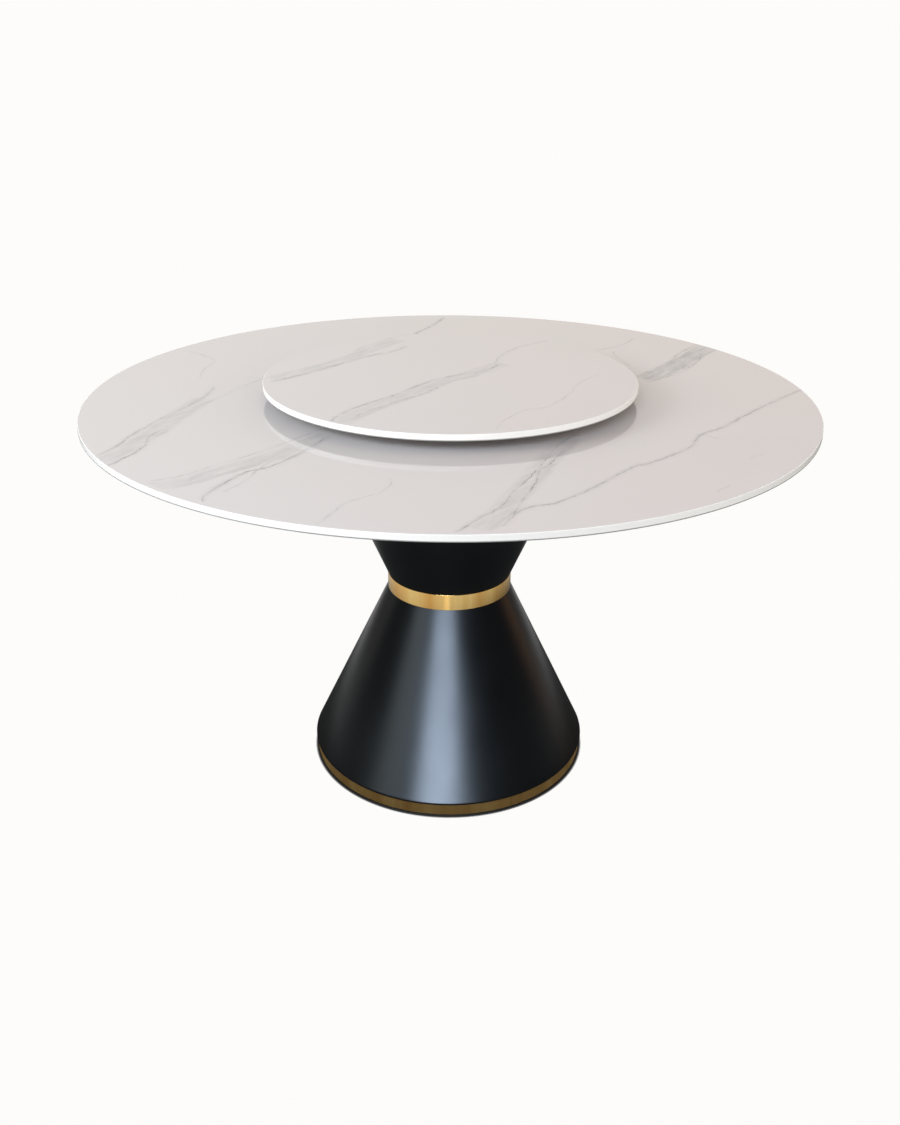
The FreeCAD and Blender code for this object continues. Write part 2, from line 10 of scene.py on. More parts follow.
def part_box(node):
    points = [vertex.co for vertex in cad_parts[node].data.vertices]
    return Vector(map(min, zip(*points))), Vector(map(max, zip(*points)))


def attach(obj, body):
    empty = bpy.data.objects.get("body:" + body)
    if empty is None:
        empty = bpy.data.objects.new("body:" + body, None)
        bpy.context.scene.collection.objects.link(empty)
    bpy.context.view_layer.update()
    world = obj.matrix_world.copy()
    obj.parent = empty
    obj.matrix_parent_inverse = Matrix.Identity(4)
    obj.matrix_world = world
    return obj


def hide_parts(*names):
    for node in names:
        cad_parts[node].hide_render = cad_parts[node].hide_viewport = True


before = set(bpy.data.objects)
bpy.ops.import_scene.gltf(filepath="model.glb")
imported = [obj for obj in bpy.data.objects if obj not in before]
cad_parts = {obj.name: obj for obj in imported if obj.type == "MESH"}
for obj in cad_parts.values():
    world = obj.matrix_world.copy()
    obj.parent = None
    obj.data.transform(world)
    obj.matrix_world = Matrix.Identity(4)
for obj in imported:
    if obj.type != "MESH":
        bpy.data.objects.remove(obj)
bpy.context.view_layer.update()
MM = 0.001

# The photograph's frame in pixels, and the camera that sees the table as it does
PHOTO_WIDE, PHOTO_HIGH = 900, 1125
FOCAL_PIXELS = 1113.2
CENTRE_PIXEL = (449.9, 490.3)
CAMERA_PLACE = Vector((0.0, -2031.9, 1351.4)) * MM
CAMERA_PITCH = math.radians(21.263)
CAMERA_ROLL = math.radians(0.344)
SENSOR = 36.0

# How finely the round pieces are drawn
TURN_STEPS = 240
ROUND_STEPS = 5
GROOVE_STEPS = 10
BALL_STEPS = 24
BALL_ARC_STEPS = 16
PAD_STEPS = 48
SCREW_STEPS = 36
SHARP_ANGLE = math.radians(40)
FLAT_FACE = 0.99
SAME_POINT = 1e-7

# Walls and roundings of the visible pieces, in millimetres
STONE_ARRIS = 1.2
# The band of grey painted shade along the stone edge's lower arris, from and to in millimetres above the
# underside
ARRIS_SHADE_BAND = (1.6, 2.6)
NECK_RADIUS = 123.0
CONE_SHEET = 1.5
CONE_LIP = 12.0
LIP_ROUND = 2.0
RIM_OVERHANG = 6.0
RIM_ROUND = 4.0
SKIRT_PLAY = 0.1
HEM_WIDTH = 16.0
BAND_ARRIS = 0.4
WAIST_BAND_THICK = 1.2
BASE_BAND_THICK = 1.5
SEAM_ANGLE = math.radians(-64)
SEAM_GAP = 0.6
FOOT_WIDTH = 26.0
FOOT_ARRIS = 0.8

# The caged ball race between the two stones, in millimetres
RING_WIDTH = 17.0
RING_EDGE = 1.0
PITCH_RADIUS = 187.0
BALL_RADIUS = 4.0
BALL_COUNT = 20
GROOVE_RADIUS = 4.25
PAD_DIAMETER = 13.0
PAD_ARRIS = 0.6
PAD_COUNT = 8

# The countersunk screws that hold the column to the base plate: radii and depths in millimetres
SCREW_COUNT = 4
SCREW_RING = 70.5
SCREW_SHANK = 5.0
SCREW_HEAD = 10.0
SCREW_SOCKET = 3.0
SOCKET_DEPTH = 3.6
SCREW_TIP_ROUND = 0.8

# Sizes of the patterns in the finishes, in millimetres
VEIN_WAVE = 18.0
VEIN_WANDER = 11.0
VEIN_SMOKE = 13.0
VEIN_BREAK = 30.0
STONE_CLOUD = 260.0
WHEEL_PATCH = 40.0
RESIN_PATCH = 40.0
MESH_DEPTH = 0.3
PEEL_PITCH = 2.2
PEEL_DEPTH = 0.02
COAT_PATCH = 120.0
GOLD_BAND = 32.0
GOLD_DEPTH = 0.05
TOOL_DEPTH = 0.03
GRAIN_WIDTH = 18.0
GRAIN_DEPTH = 0.1
PLY_PAIR = 3.0
# Two to five times finer on the real thing, and drawn this coarse so that they show
STONE_SPECKLE = 1.6
MESH_PITCH = 10.0
TOOL_LINE = 0.8

# How some of them are drawn out: the lean of a vein's smoke and how many times longer it is than wide,
# then the share that height counts in the gold's bands and length in the wood's grain
VEIN_LEAN = math.radians(57)
SMOKE_LENGTH = 4.5
UPRIGHT_SHARE = 0.06
GRAIN_SHARE = 0.08

# Where the stone turns a little rosy, in metres to the right
BLUSH_STARTS, BLUSH_FULL = -0.35, 0.5

# How a vein shades across its width: (place across, soft grey, dark line), the two ends first
FINE_LINE = (
    (0, 0, 0), (1, 0, 0), (0.3, 0.14, 0), (0.45, 0.32, 0.15),
    (0.5, 0.5, 0.85), (0.55, 0.32, 0.15), (0.75, 0.12, 0))
FAINT_LINE = ((0, 0, 0), (1, 0, 0), (0.4, 0.06, 0), (0.5, 0.16, 0.34), (0.6, 0.06, 0))
WIDE_BAND = ((0, 0, 0), (1, 0, 0), (0.2, 0.36, 0), (0.45, 0.26, 0), (0.7, 0.3, 0), (0.85, 0.16, 0))
DARK_BAND = ((0, 0, 0), (1, 0, 0), (0.15, 0.62, 0), (0.5, 0.5, 0), (0.82, 0.7, 0))

# How a vein fades along its length: (share of the length, strength)
VEIN_FADE = ((0, 0), (0.06, 0.9), (0.5, 1), (0.94, 0.9), (1, 0))

# Veins of the stone print: shade, half width in millimetres, and the pixels that each runs through
TABLE_VEINS = {
    "left band": (WIDE_BAND, 27, ((100, 462), (121, 451), (148, 436), (175, 417), (205, 398))),
    "left band, upper line": (FINE_LINE, 12, (
        (97, 456), (117, 446), (129, 437), (144, 428), (162, 418), (180, 410), (199, 400), (214, 386))),
    "left band, lower line": (FINE_LINE, 12, (
        (107, 466), (124, 458), (142, 448), (152, 435), (172, 425))),
    "left band, tail": (FAINT_LINE, 12, ((180, 412), (213, 400), (239, 388), (264, 378))),
    "left squiggle": (FAINT_LINE, 10, ((182, 350), (203, 355), (214, 361), (205, 368), (200, 378))),
    "near left band": (WIDE_BAND, 25, (
        (152, 486), (190, 480), (216, 472), (250, 463), (290, 450), (325, 434))),
    "near left band, upper line": (FAINT_LINE, 14, (
        (137, 483), (157, 480), (185, 475), (203, 469), (234, 460), (277, 446), (300, 437), (323, 429))),
    "near left band, middle line": (FAINT_LINE, 13, (
        (223, 492), (246, 480), (252, 475), (263, 466), (274, 461))),
    "near left band, lower line": (FINE_LINE, 12, (
        (203, 502), (207, 494), (223, 484), (241, 474), (272, 466), (302, 452), (325, 438))),
    "front thread": (FAINT_LINE, 8, (
        (316, 525), (327, 517), (344, 504), (364, 497), (383, 491), (389, 477))),
    "back band": (FINE_LINE, 14, ((400, 346), (417, 333), (435, 324), (444, 317))),
    "back right thread": (FAINT_LINE, 12, ((598, 350), (621, 345), (634, 337))),
    "back right fork": (FAINT_LINE, 12, ((613, 351), (619, 359), (631, 366))),
    "right band": (DARK_BAND, 28, ((640, 379), (658, 374), (674, 367), (690, 357), (709, 347))),
    "right band, upper line": (FINE_LINE, 12, (
        (640, 375), (654, 369), (667, 363), (682, 352), (700, 344))),
    "right band, lower line": (FINE_LINE, 12, (
        (644, 382), (659, 379), (680, 372), (698, 361), (705, 352), (716, 348))),
    "long right thread, near half": (FINE_LINE, 10, (
        (512, 516), (527, 508), (543, 505), (556, 503), (572, 497),
        (587, 491), (608, 480), (639, 465), (647, 463))),
    "long right thread, far half": (FINE_LINE, 11, (
        (640, 466), (670, 456), (687, 449), (695, 441), (705, 433),
        (721, 428), (746, 415), (784, 397), (803, 389))),
    "long right thread, spur": (FAINT_LINE, 8, ((705, 434), (712, 437), (722, 439))),
    "front band": (WIDE_BAND, 24, (
        (476, 530), (499, 514), (515, 497), (535, 475), (555, 452), (572, 438))),
    "front band, left line": (FINE_LINE, 10, (
        (452, 532), (461, 530), (481, 517), (498, 509), (512, 493),
        (531, 476), (548, 457), (566, 440), (583, 435))),
    "front band, right line": (FINE_LINE, 10, (
        (498, 526), (510, 519), (514, 513), (521, 502), (535, 484), (541, 470), (551, 463), (564, 449))),
    "right fleck": (FAINT_LINE, 6, ((716, 492), (722, 489), (730, 485))),
    "far right fleck": (FAINT_LINE, 6, ((750, 459), (757, 456), (764, 454))),
}
SUSAN_VEINS = {
    "back band": (WIDE_BAND, 22, ((270, 379), (305, 371), (340, 361), (372, 349), (400, 339))),
    "back band, upper line": (FAINT_LINE, 12, (
        (270, 376), (305, 368), (336, 360), (366, 346), (392, 338), (418, 332))),
    "back band, lower line": (FINE_LINE, 12, (
        (270, 382), (305, 374), (341, 364), (369, 356), (394, 351), (402, 344))),
    "main band": (WIDE_BAND, 25, (
        (335, 424), (368, 409), (405, 396), (435, 383), (470, 374), (502, 363))),
    "main band, upper line": (FINE_LINE, 13, (
        (330, 424), (350, 410), (369, 403), (392, 396), (417, 386), (443, 378), (486, 370), (499, 365))),
    "main band, lower line": (FINE_LINE, 12, (
        (350, 420), (366, 412), (399, 401), (425, 393), (443, 385), (460, 377))),
    "main band, tail": (FAINT_LINE, 16, ((496, 367), (501, 356), (519, 347), (542, 342), (562, 338))),
    "right thread": (FAINT_LINE, 7, (
        (497, 430), (519, 412), (550, 406), (568, 395), (583, 381), (603, 373))),
}

# The floor's half width in metres
FLOOR_EXTENT = 20.0

# The floor as the base mirrors it, with painted shade under the table and a painted bright ring of light
# round it: (distance in metres from the shade's centre, brightness), the two ends first
SHADE_CENTRE = (0.06, 0.05, 0.0)
SHADE_REACH = 3.0
FLOOR_SHADE = ((0.0, 0.04), (SHADE_REACH, 0.1), (0.68, 0.04), (1.0, 1.0), (1.05, 1.0), (1.3, 0.1))

# The painted contact shadow, a dark line on the floor where the foot meets it: its reach in metres, and how
# steeply it fades
CONTACT_REACH = 0.005
CONTACT_DEPTH = 12.0

# The white that the camera sees round the table, and the dim light that comes from there
PAPER_WHITE = "#fdfcfa"
SURROUND_LIGHT = 0.04

# The panels of light, in metres; a radiance of one takes this many watts for a square metre
WATTS_PER_RADIANCE = 4.0
# Over the table: place, aim, size, radiance, colour
OVERHEAD = ((0, 0.3, 3.4), (0, 0.3, 0), (3.2, 3.2), 0.2, "#ffe8d0")
# Four pale walls round it
WALL_AWAY = 4.4
WALL_LEVEL = 3.1
WALL_SIZE = (2 * WALL_AWAY, 6.0)
WALL_RADIANCE = 0.7
WALL_WHITE, BACK_WALL_WHITE = "#faf7f4", "#fdf8f2"
# Soft fills that polish doesn't show, kept off cones, foot and waist band: place, size, radiance, colour
FILLS = {
    "front fill": ((-1.1, -4.2, 3.4), (3.0, 1.4), 6.1, "#c8e0ff"),
    "edge fill": ((-0.8, -4.2, 1.0), (3.0, 1.0), 4.6, "#f0f4fa"),
    "left fill": ((-4.0, -1.4, 2.2), (2.4, 1.6), 10.0, "#e4eefa"),
    "right fill": ((4.0, -0.6, 1.5), (2.4, 1.6), 3.0, "#eceef2"),
    "back fill": ((0, 4.2, 1.5), (2.4, 1.6), 2.0, "#fdf8f2"),
}
# Window, curtain, cards and glint for the base, kept off the stone and the foot strip:
# place, aim, size, radiance, colour
BASE_LIGHTS = {
    "front window": ((-0.55, -4.2, 1.25), (0, 0, 0.5), (2.4, 1.9), 9.5, "#e6f0ff"),
    "window foot": ((-0.45, -4.1, 0.3), (0, 0, 0.3), (1.2, 0.35), 14.0, "#eef4ff"),
    "side curtain": ((-3.1, -2.8, 1.5), (0, 0, 0.5), (1.8, 2.4), 1.2, "#f4f8f4"),
    "warm card": ((3.8, 1.6, 0.7), (0, 0, 0.4), (1.2, 1.6), 0.9, "#b9804c"),
    "grey card": ((-3.8, 1.6, 0.7), (0, 0, 0.4), (1.2, 1.6), 0.3, "#cfc4b2"),
    "floor glint": ((-0.06, -0.9, 0.01), (-0.06, -0.9, 1.0), (0.12, 0.6), 0.3, "#fff8ec"),
}


# Camera

def axes():
    """The camera's right, up and forward directions."""
    right = Vector((1.0, 0.0, 0.0))
    forward = Vector((0.0, math.cos(CAMERA_PITCH), -math.sin(CAMERA_PITCH)))
    up = right.cross(forward)
    roll = Matrix.Rotation(-CAMERA_ROLL, 3, forward)
    return roll @ right, roll @ up, forward


def on_level(pixel, level):
    """The point at that height that the photograph shows at that pixel."""
    right, up, forward = axes()
    aside = (pixel[0] - CENTRE_PIXEL[0]) / FOCAL_PIXELS
    above = (CENTRE_PIXEL[1] - pixel[1]) / FOCAL_PIXELS
    ray = forward + aside * right + above * up
    return CAMERA_PLACE + ray * ((level - CAMERA_PLACE.z) / ray.z)


def set_camera():
    """The camera at the photograph's place, with its framing as lens shift."""
    right, up, forward = axes()
    lens = bpy.data.cameras.new("photo camera")
    lens.sensor_width = SENSOR
    lens.lens = FOCAL_PIXELS / PHOTO_HIGH * SENSOR
    lens.shift_x = (PHOTO_WIDE / 2 - CENTRE_PIXEL[0]) / PHOTO_HIGH
    lens.shift_y = (CENTRE_PIXEL[1] - PHOTO_HIGH / 2) / PHOTO_HIGH
    camera = bpy.data.objects.new("photo camera", lens)
    turn = Matrix((right, up, -forward)).transposed()
    camera.matrix_world = Matrix.Translation(CAMERA_PLACE) @ turn.to_4x4()
    bpy.context.scene.collection.objects.link(camera)
    bpy.context.scene.camera = camera


# Nodes and colours

def linear(code):
    """An sRGB hex colour as linear red, green, blue and alpha."""
    parts = [int(code[i:i + 2], 16) / 255 for i in (1, 3, 5)]
    return [p / 12.92 if p <= 0.04045 else ((p + 0.055) / 1.055) ** 2.4 for p in parts] + [1.0]


def add(tree, kind, sockets=None, **settings):
    """Adds a node with its settings; a socket takes a value, an output, or a node's first output in use."""
    made = tree.nodes.new(kind)
    for name, value in settings.items():
        setattr(made, name, value)
    for key, value in (sockets or {}).items():
        socket = made.inputs[key] if isinstance(key, int) else next(
            s for s in made.inputs if s.name == key and s.enabled)
        if isinstance(value, bpy.types.Node):
            value = next(output for output in value.outputs if output.enabled)
        if isinstance(value, bpy.types.NodeSocket):
            tree.links.new(value, socket)
        else:
            socket.default_value = value
    return made


def per_mm(size):
    """The texture scale whose features are that many millimetres apart, on coordinates in metres."""
    return 1.0 / (size * MM)


def per_wave(size):
    """The wave texture's scale for bands that many millimetres apart; it fits 20 radians in a unit."""
    return math.tau / 20 / (size * MM)


def new_material(name):
    """A material, its empty tree, and the piece's own coordinates in it."""
    material = bpy.data.materials.new(name)
    material.use_nodes = True
    material.node_tree.nodes.clear()
    place = add(material.node_tree, "ShaderNodeTexCoord").outputs["Object"]
    return material, material.node_tree, place


# Finishes

def vein(tree, place, earlier, level, shade, half_width, pixels):
    """One vein along a path of the photograph's pixels, laid over the veins before it."""
    points = [on_level(pixel, level) for pixel in pixels]
    chord = points[-1] - points[0]
    angle = math.atan2(chord.y, chord.x)
    level_out = Matrix.Rotation(-angle, 3, "Z")
    local = [level_out @ (point - points[0]) for point in points]
    room = 2 * (max(abs(point.y) for point in local) + half_width * MM)
    span = add(tree, "ShaderNodeMapping", {
        "Vector": place, "Location": points[0], "Rotation": (0, 0, angle),
        "Scale": (chord.length, room, 1)}, vector_type="TEXTURE")
    split = add(tree, "ShaderNodeSeparateXYZ", {"Vector": span}).outputs
    path = add(tree, "ShaderNodeFloatCurve", {"Value": split["X"]})
    fade = add(tree, "ShaderNodeFloatCurve", {"Value": split["X"]})
    # A curve holds values from 0 to 1, so the path's offset from its chord is kept about the middle
    middle = 0.5
    route = [(point.x / chord.length, middle + point.y / room) for point in local]
    for node, line in ((path, route), (fade, VEIN_FADE)):
        curve = node.mapping.curves[0].points
        curve[0].location, curve[1].location = line[0], line[-1]
        for x, y in line[1:-1]:
            curve.new(x, y)
        node.mapping.update()
    across = add(tree, "ShaderNodeMath", {0: split["Y"], 1: path}, operation="SUBTRACT")
    half = half_width * MM / room
    share = add(tree, "ShaderNodeMapRange", {
        "Value": across, "From Min": -middle - half, "From Max": half - middle})
    ramp = add(tree, "ShaderNodeValToRGB", {"Fac": share})
    for i, (position, soft, dark) in enumerate(shade):
        stop = ramp.color_ramp.elements[i] if i < 2 else ramp.color_ramp.elements.new(position)
        stop.position = position
        stop.color = (soft, dark, 0, 1)
    return add(tree, "ShaderNodeMix", {
        "Factor": fade, "A": earlier, "B": ramp}, data_type="RGBA", blend_type="LIGHTEN")


def stone_face(name, level, veins):
    """Polished sintered stone: a mirror-glossy printed face, warm grey white with wispy grey veins."""
    material, tree, place = new_material(name)
    # The veins, pulled off their paths by a fine wander
    wander = add(tree, "ShaderNodeTexNoise", {
        "Vector": place, "Scale": per_mm(VEIN_WAVE), "Detail": 6.0, "Roughness": 0.68})
    sway = add(tree, "ShaderNodeVectorMath", {
        0: wander.outputs["Color"], 1: (0.5, 0.5, 0.5)}, operation="SUBTRACT")
    drift = add(tree, "ShaderNodeVectorMath", {
        0: sway, 1: (VEIN_WANDER * MM,) * 3, 2: place}, operation="MULTIPLY_ADD")
    laid = (0, 0, 0, 1)
    for shade, half_width, pixels in veins.values():
        laid = vein(tree, drift, laid, level, shade, half_width, pixels)
    soft, dark, _ = add(tree, "ShaderNodeSeparateColor", {0: laid}).outputs
    # Their soft grey clings in long smoky streaks, and their dark lines break off here and there
    lean = add(tree, "ShaderNodeMapping", {
        "Vector": drift, "Rotation": (0, 0, VEIN_LEAN),
        "Scale": (SMOKE_LENGTH, 1, 1)}, vector_type="TEXTURE")
    smoke = add(tree, "ShaderNodeTexNoise", {
        "Vector": lean, "Scale": per_mm(VEIN_SMOKE), "Detail": 6.0, "Roughness": 0.6})
    cling = add(tree, "ShaderNodeMapRange", {
        "Value": smoke, "From Min": 0.33, "From Max": 0.68, "To Min": 0.2, "To Max": 1.2})
    wash = add(tree, "ShaderNodeMath", {0: soft, 1: cling}, operation="MULTIPLY")
    gap = add(tree, "ShaderNodeTexNoise", {
        "Vector": place, "Scale": per_mm(VEIN_BREAK), "Detail": 6.0, "Roughness": 0.75})
    broken = add(tree, "ShaderNodeMapRange", {
        "Value": gap, "From Min": 0.44, "From Max": 0.64, "To Min": 0.06})
    drawn = add(tree, "ShaderNodeMath", {0: dark, 1: broken}, operation="MULTIPLY")
    # The ground: faint clouds, a little rosier to the right
    cloud = add(tree, "ShaderNodeTexNoise", {"Vector": place, "Scale": per_mm(STONE_CLOUD), "Detail": 3.0})
    aside = add(tree, "ShaderNodeSeparateXYZ", {"Vector": place}).outputs["X"]
    side = add(tree, "ShaderNodeMapRange", {
        "Value": aside, "From Min": BLUSH_STARTS, "From Max": BLUSH_FULL, "To Max": 2.0})
    blush = add(tree, "ShaderNodeMath", {0: cloud, 1: side}, operation="MULTIPLY", use_clamp=True)
    ground = add(tree, "ShaderNodeMix", {
        "Factor": blush, "A": linear("#d7d0ca"), "B": linear("#d7cbc4")}, data_type="RGBA")
    washed = add(tree, "ShaderNodeMix", {
        "Factor": wash, "A": ground, "B": linear("#92908d")}, data_type="RGBA")
    lined = add(tree, "ShaderNodeMix", {
        "Factor": drawn, "A": washed, "B": linear("#4c4a49")}, data_type="RGBA")
    polish = add(tree, "ShaderNodeMapRange", {"Value": cloud, "To Min": 0.02, "To Max": 0.04})
    shader = add(tree, "ShaderNodeBsdfPrincipled", {"Base Color": lined, "Roughness": polish, "IOR": 1.52})
    add(tree, "ShaderNodeOutputMaterial", {"Surface": shader})
    return material


def stone_edge(name, under):
    """The body of the same stone, polished by hand: white, a fine speckle, and a grey band of painted shade
    along the lower arris.
    """
    material, tree, place = new_material(name)
    speckle = add(tree, "ShaderNodeTexNoise", {
        "Vector": place, "Scale": per_mm(STONE_SPECKLE), "Detail": 1.0})
    white = add(tree, "ShaderNodeMix", {
        "Factor": speckle, "A": linear("#e0dbd2"), "B": linear("#ebe7df")}, data_type="RGBA")
    # Painted shade: the edge darkened to grey along its lower arris
    height = add(tree, "ShaderNodeSeparateXYZ", {"Vector": place}).outputs["Z"]
    arris_shade = add(tree, "ShaderNodeMapRange", {
        "Value": height, "From Min": under + ARRIS_SHADE_BAND[0] * MM, "From Max": under + ARRIS_SHADE_BAND[1] * MM,
        "To Min": 1.0, "To Max": 0.0})
    colour = add(tree, "ShaderNodeMix", {
        "Factor": arris_shade, "A": white, "B": linear("#86847f")}, data_type="RGBA")
    wheel = add(tree, "ShaderNodeTexNoise", {"Vector": place, "Scale": per_mm(WHEEL_PATCH)})
    polish = add(tree, "ShaderNodeMapRange", {"Value": wheel, "To Min": 0.2, "To Max": 0.24})
    shader = add(tree, "ShaderNodeBsdfPrincipled", {"Base Color": colour, "Roughness": polish, "IOR": 1.5})
    add(tree, "ShaderNodeOutputMaterial", {"Surface": shader})
    return material


def stone_back():
    """The fired back of the slab: matt, cool grey, with the weave of its glass fibre mesh under resin."""
    material, tree, place = new_material("mesh-backed sintered stone")
    across, along = [add(tree, "ShaderNodeTexWave", {
        "Vector": place, "Scale": per_wave(MESH_PITCH)}, bands_direction=way) for way in "XY"]
    weave = add(tree, "ShaderNodeMath", {0: across, 1: along}, operation="MAXIMUM")
    relief = add(tree, "ShaderNodeBump", {"Height": weave, "Distance": MESH_DEPTH * MM, "Strength": 0.6})
    mottle = add(tree, "ShaderNodeTexNoise", {"Vector": place, "Scale": per_mm(RESIN_PATCH), "Detail": 4.0})
    colour = add(tree, "ShaderNodeMix", {
        "Factor": mottle, "A": linear("#a7a9ac"), "B": linear("#bbbdbf")}, data_type="RGBA")
    grit = add(tree, "ShaderNodeMapRange", {"Value": mottle, "To Min": 0.62, "To Max": 0.8})
    shader = add(tree, "ShaderNodeBsdfPrincipled", {
        "Base Color": colour, "Roughness": grit, "Normal": relief})
    add(tree, "ShaderNodeOutputMaterial", {"Surface": shader})
    return material


def powder_coat():
    """Satin black powder coat on spun steel: deep black, a soft cool sheen, and a faint orange peel."""
    material, tree, place = new_material("satin black powder coat")
    peel = add(tree, "ShaderNodeTexNoise", {"Vector": place, "Scale": per_mm(PEEL_PITCH), "Detail": 1.0})
    relief = add(tree, "ShaderNodeBump", {"Height": peel, "Distance": PEEL_DEPTH * MM, "Strength": 0.35})
    mottle = add(tree, "ShaderNodeTexNoise", {"Vector": place, "Scale": per_mm(COAT_PATCH), "Detail": 3.0})
    colour = add(tree, "ShaderNodeMix", {
        "Factor": mottle, "A": linear("#040404"), "B": linear("#080808")}, data_type="RGBA")
    sheen = add(tree, "ShaderNodeMapRange", {"Value": mottle, "To Min": 0.27, "To Max": 0.39})
    shader = add(tree, "ShaderNodeBsdfPrincipled", {
        "Base Color": colour, "Roughness": sheen, "IOR": 1.65,
        "Specular Tint": linear("#e8f4ff"), "Normal": relief})
    add(tree, "ShaderNodeOutputMaterial", {"Surface": shader})
    return material


def gold_strip(name, low, high, roughness, stretch):
    """Gold-coated stainless strip: warm metal with upright bands of tone, where rolling left it wavy."""
    material, tree, place = new_material(name)
    upright = add(tree, "ShaderNodeMapping", {"Vector": place, "Scale": (1, 1, UPRIGHT_SHARE)})
    bands = add(tree, "ShaderNodeTexNoise", {
        "Vector": upright, "Scale": per_mm(GOLD_BAND), "Detail": 2.0, "Roughness": 0.5})
    tone = add(tree, "ShaderNodeMapRange", {"Value": bands, "From Min": 0.3, "From Max": 0.65})
    colour = add(tree, "ShaderNodeMix", {
        "Factor": tone, "A": linear(low), "B": linear(high)}, data_type="RGBA")
    polish = add(tree, "ShaderNodeMapRange", {
        "Value": bands, "To Min": roughness, "To Max": roughness + 0.06})
    relief = add(tree, "ShaderNodeBump", {"Height": bands, "Distance": GOLD_DEPTH * MM, "Strength": 0.4})
    round_axis = add(tree, "ShaderNodeTangent", direction_type="RADIAL", axis="Z")
    shader = add(tree, "ShaderNodeBsdfPrincipled", {
        "Base Color": colour, "Metallic": 1.0, "Roughness": polish, "Anisotropic": stretch,
        "Anisotropic Rotation": 0.25, "Tangent": round_axis, "Normal": relief})
    add(tree, "ShaderNodeOutputMaterial", {"Surface": shader})
    return material


def plain_finish(name, low, high, patch, rough, relief=(0, 0), **more):
    """A finish of two colours and roughnesses in patches, and pits of a size and depth, in millimetres."""
    material, tree, place = new_material(name)
    mottle = add(tree, "ShaderNodeTexNoise", {"Vector": place, "Scale": per_mm(patch), "Detail": 3.0})
    colour = add(tree, "ShaderNodeMix", {
        "Factor": mottle, "A": linear(low), "B": linear(high)}, data_type="RGBA")
    grit = add(tree, "ShaderNodeMapRange", {"Value": mottle, "To Min": rough[0], "To Max": rough[1]})
    sockets = {"Base Color": colour, "Roughness": grit, **more}
    size, depth = relief
    if depth:
        pits = add(tree, "ShaderNodeTexNoise", {"Vector": place, "Scale": per_mm(size)})
        sockets["Normal"] = add(tree, "ShaderNodeBump", {
            "Height": pits, "Distance": depth * MM, "Strength": 0.6})
    shader = add(tree, "ShaderNodeBsdfPrincipled", sockets)
    add(tree, "ShaderNodeOutputMaterial", {"Surface": shader})
    return material


def turned_aluminium():
    """Extruded aluminium rolled to a ring and turned: pale metal with fine tool lines round the axis."""
    material, tree, place = new_material("turned aluminium")
    from_axis = add(tree, "ShaderNodeVectorMath", {0: place, 1: (1, 1, 0)}, operation="MULTIPLY")
    radius = add(tree, "ShaderNodeVectorMath", {0: from_axis}, operation="LENGTH")
    spread = add(tree, "ShaderNodeCombineXYZ", {"X": radius})
    lines = add(tree, "ShaderNodeTexNoise", {"Vector": spread, "Scale": per_mm(TOOL_LINE)})
    colour = add(tree, "ShaderNodeMix", {
        "Factor": lines, "A": linear("#b4b6b9"), "B": linear("#d3d5d7")}, data_type="RGBA")
    tooled = add(tree, "ShaderNodeMapRange", {"Value": lines, "To Min": 0.26, "To Max": 0.4})
    relief = add(tree, "ShaderNodeBump", {"Height": lines, "Distance": TOOL_DEPTH * MM, "Strength": 0.5})
    shader = add(tree, "ShaderNodeBsdfPrincipled", {
        "Base Color": colour, "Metallic": 1.0, "Roughness": tooled, "Normal": relief})
    add(tree, "ShaderNodeOutputMaterial", {"Surface": shader})
    return material


def plywood():
    """Birch plywood: pale faces with long grain, and thin dark and light plies along its edge."""
    material, tree, place = new_material("birch plywood")
    drawn_out = add(tree, "ShaderNodeMapping", {"Vector": place, "Scale": (GRAIN_SHARE, 1, 1)})
    grain = add(tree, "ShaderNodeTexNoise", {
        "Vector": drawn_out, "Scale": per_mm(GRAIN_WIDTH), "Detail": 4.0})
    ply = add(tree, "ShaderNodeTexWave", {
        "Vector": place, "Scale": per_wave(PLY_PAIR)}, bands_direction="Z")
    mixed = add(tree, "ShaderNodeMath", {0: grain, 1: ply}, operation="MULTIPLY")
    colour = add(tree, "ShaderNodeMix", {
        "Factor": mixed, "A": linear("#d8bd93"), "B": linear("#a98556")}, data_type="RGBA")
    sanded = add(tree, "ShaderNodeMapRange", {"Value": grain, "To Min": 0.5, "To Max": 0.7})
    relief = add(tree, "ShaderNodeBump", {"Height": grain, "Distance": GRAIN_DEPTH * MM, "Strength": 0.4})
    shader = add(tree, "ShaderNodeBsdfPrincipled", {
        "Base Color": colour, "Roughness": sanded, "Normal": relief})
    add(tree, "ShaderNodeOutputMaterial", {"Surface": shader})
    return material


# Shapes

def rounded(outline):
    """The outline's corners (radius, height, rounding), each with its arc, as points of a section."""
    points = []
    for i, (r, z, ease) in enumerate(outline):
        here = Vector((r, z))
        if ease == 0:
            points.append(here)
            continue
        to_before = (Vector(outline[i - 1][:2]) - here).normalized()
        to_after = (Vector(outline[(i + 1) % len(outline)][:2]) - here).normalized()
        half = to_before.angle(to_after) / 2
        reach = ease / math.tan(half)
        centre = here + (to_before + to_after).normalized() * (ease / math.sin(half))
        start = here + to_before * reach - centre
        end = here + to_after * reach - centre
        # A point on either side of the arc keeps the shading of the flat faces flat
        points.append(here + to_before * (reach + ease / 2))
        for step in range(ROUND_STEPS + 1):
            points.append(centre + ease * start.slerp(end, step / ROUND_STEPS).normalized())
        points.append(here + to_after * (reach + ease / 2))
    return points


def arc(centre, radius, start, end, steps):
    """Points of an arc in a section, without rounding."""
    turns = [math.radians(start + (end - start) * i / steps) for i in range(steps + 1)]
    return [(centre[0] + radius * math.cos(a), centre[1] + radius * math.sin(a), 0) for a in turns]


